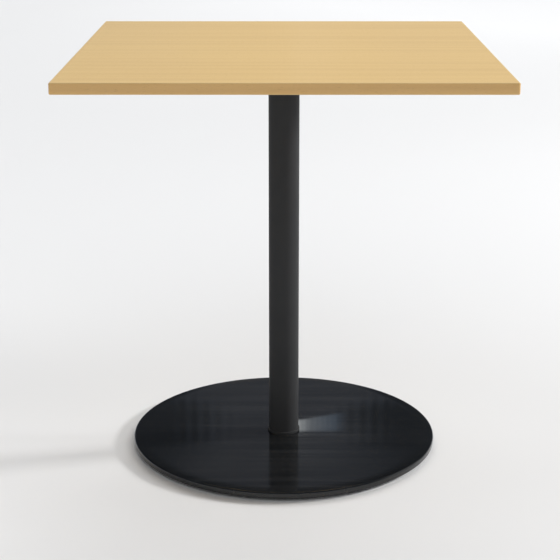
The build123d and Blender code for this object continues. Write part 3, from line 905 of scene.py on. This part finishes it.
def make_world():
    world = bpy.data.worlds.new("studio")
    scene.world = world
    world.use_nodes = True
    t = Tree(world.node_tree)
    world.node_tree.nodes.clear()
    out = t.add("ShaderNodeOutputWorld")
    path = t.add("ShaderNodeLightPath")
    direction = t.add("ShaderNodeTexCoord").outputs["Generated"]
    xyz = t.add("ShaderNodeSeparateXYZ", {"Vector": direction}).outputs
    seen = t.add("ShaderNodeBackground", {"Color": WORLD_SEEN, "Strength": 1.0})
    soft = t.add("ShaderNodeBackground", {"Color": (1.0, 1.0, 1.0, 1), "Strength": WORLD_LIGHT})
    # what glossy surfaces see: a dim room with a paler bay in the middle of each eighth of its wall
    turn = t.math("ARCTAN2", xyz[0], xyz[1])
    bay = t.math("ABSOLUTE", t.math("WRAP", turn, TAU / 16, -TAU / 16))
    flutter = t.math("MULTIPLY", t.math("SUBTRACT", t.noise(t.scaled(direction, 3.0, 3.0, 60.0), 1.0, 2.0, 0.5), 0.5), math.radians(1.6))
    narrow = t.math("MULTIPLY", t.ramp(xyz[2], 0.362, 0.372), t.ramp(xyz[2], 0.405, 0.396))
    reach = t.math("ADD", t.math("ADD", bay, flutter), t.math("MULTIPLY", t.math("SUBTRACT", narrow, 0.53), math.radians(1.7)))
    reach_low = t.math("ADD", bay, flutter)
    low = t.ramp(xyz[2], 0.30, 0.12)
    above = t.ramp(xyz[2], 0.30, 0.34)
    reach = t.math("ADD", t.math("MULTIPLY", reach, above), t.math("MULTIPLY", reach_low, t.math("SUBTRACT", 1.0, above)))
    mid = t.ramp(reach, math.radians(BAY_IN), math.radians(BAY_OUT), 1.0, 0.0)
    slats = t.math("ADD", 0.5, t.math("MULTIPLY", t.math("SINE", t.math("MULTIPLY", turn, TAU / math.radians(0.50))), 0.5))
    fringe = t.math("MULTIPLY", t.ramp(reach, math.radians(2.2), math.radians(3.8)), t.ramp(reach, math.radians(5.8), math.radians(4.4)))
    high = t.ramp(xyz[2], 0.55, 0.95)
    strips = t.noise(t.scaled(direction, 3.0, 3.0, 150.0), 1.0, 3.0, 0.6)
    base = t.math("ADD", ROOM_LOW, t.math("MULTIPLY", mid, ROOM_MID))
    base = t.math("MULTIPLY", base, t.ramp(xyz[2], 0.425, 0.500, 1.0, 0.25))          # a dark beam over the bay
    base = t.math("ADD", base, t.math("MULTIPLY", high, ROOM_HIGH))
    base = t.math("ADD", base, t.math("MULTIPLY", t.math("MULTIPLY", fringe, slats), ROOM_SLATS))
    base = t.math("ADD", t.math("MULTIPLY", base, t.math("SUBTRACT", 1.0, low)), t.math("MULTIPLY", low, ROOM_HORIZON))
    base = t.math("MULTIPLY", base, t.math("ADD", 0.55, t.math("MULTIPLY", strips, 0.9)))
    tint = t.mix(mid, ROOM_SIDE, t.mix(above, (0.95, 0.97, 1.04, 1), ROOM_COLOUR))
    room = t.add("ShaderNodeBackground", {"Color": tint, "Strength": base})
    first = t.add("ShaderNodeMixShader", {0: path.outputs["Is Glossy Ray"], 1: soft.outputs[0], 2: room.outputs[0]})
    both = t.add("ShaderNodeMixShader", {0: path.outputs["Is Camera Ray"], 1: first.outputs[0], 2: seen.outputs[0]})
    t.links.new(both.outputs[0], out.inputs[0])


# floor tone: level and slope across, for the whole, the front, the back, the far end and the band under the table. This
# is painted light: the tone lightens the floor where the table's shadow and the lamps' falloff darken it, and the band
# under the table is a painted shadow.
FLOOR_TONE_PAINTED_LIGHT = (0.6938, -0.0606, 0.0709, -0.1213, 0.0537, 0.0354, 0.2220, 0.0870, -0.0554, 0.0395)
WORLD_SEEN = (0.90, 0.90, 0.90, 1)
WORLD_LIGHT = 0.25
ROOM_LOW, ROOM_MID, ROOM_HIGH, ROOM_HORIZON, ROOM_SLATS = 0.040, 0.095, 0.22, 0.44, 0.040
BAY_IN, BAY_OUT = 2.4, 4.9
ROOM_COLOUR = (0.89, 0.96, 1.14, 1)
ROOM_SIDE = (0.78, 0.92, 1.16, 1)


def window(name, corners, white, blue):
    """A distant bright pane that only glossy surfaces see, white at its left and fading to blue at its right."""
    mesh = bpy.data.meshes.new(name)
    mesh.from_pydata(corners, [], [(0, 1, 2, 3)])
    ob = bpy.data.objects.new(name, mesh)
    scene.collection.objects.link(ob)
    m = bpy.data.materials.new(name)
    m.use_nodes = True
    t = Tree(m.node_tree)
    m.node_tree.nodes.clear()
    out = t.add("ShaderNodeOutputMaterial")
    x = t.add("ShaderNodeSeparateXYZ", {"Vector": t.add("ShaderNodeTexCoord").outputs["Object"]}).outputs[0]
    left, right = corners[0][0], corners[1][0]
    level = t.ramp(x, left, left + 0.30 * (right - left), white, 1.6 * blue, "LINEAR")
    level = t.math("MULTIPLY", level, t.ramp(x, left + 0.30 * (right - left), right, 1.0, 0.22, "LINEAR"))
    level = t.math("MULTIPLY", level, t.ramp(x, right, right - 0.30 * (right - left)))
    bars = t.math("ADD", 0.92, t.math("MULTIPLY", t.math("SINE", t.math("MULTIPLY", x, TAU / 0.021)), 0.08))
    colour = t.mix(t.ramp(x, left, right), (0.96, 1.0, 1.0, 1), (0.46, 0.70, 1.0, 1))
    glow = t.add("ShaderNodeEmission", {"Color": colour, "Strength": t.math("MULTIPLY", level, bars)})
    both = t.add("ShaderNodeAddShader", {0: glow.outputs[0], 1: t.add("ShaderNodeBsdfTransparent").outputs[0]})
    t.links.new(both.outputs[0], out.inputs[0])
    mesh.materials.append(m)
    ob.visible_camera = False
    ob.visible_diffuse = False
    ob.visible_shadow = False
    return ob


make_floor()
make_world()
window("window_behind", [(0.045, 3.0, 1.2345), (0.27, 3.0, 1.1930), (0.27, 3.0, 1.2760), (0.045, 3.0, 1.2780)], 2.1, 0.40)
key = panel("key_right", 12.5, 23.0, 5.0, 0.70, 0.71, (1.0, 0.99, 0.975))
key.visible_glossy = False
sheen = panel("sheen_right", 12.0, 25.0, 5.0, 3.2, 0.11, (1.0, 0.99, 0.975))
sheen.visible_diffuse = False
softbox("edge_right", 1.0, 23.0, 6.0, 0.155)
softbox("bank_behind", 90.0, 50.0, 40.0, 0.40)
softbox("bank_back_right", 50.0, 38.0, 30.0, 0.33)
softbox("bank_right", 10.0, 45.0, 40.0, 0.08)
softbox("bank_front", -90.0, 45.0, 40.0, 0.13)


# ------------------------------------------------------------------ camera
cam_data = bpy.data.cameras.new("camera")
cam = bpy.data.objects.new("camera", cam_data)
scene.collection.objects.link(cam)
scene.camera = cam
cam_data.sensor_width = 36.0
cam_data.lens = 1477.4 / 560 * 36.0
cam_data.clip_start, cam_data.clip_end = 0.05, 200
cam.location = (-0.0040, -2.5898, 1.0972)
cam.rotation_euler = (math.radians(90 - 16.86), 0, 0.0012)
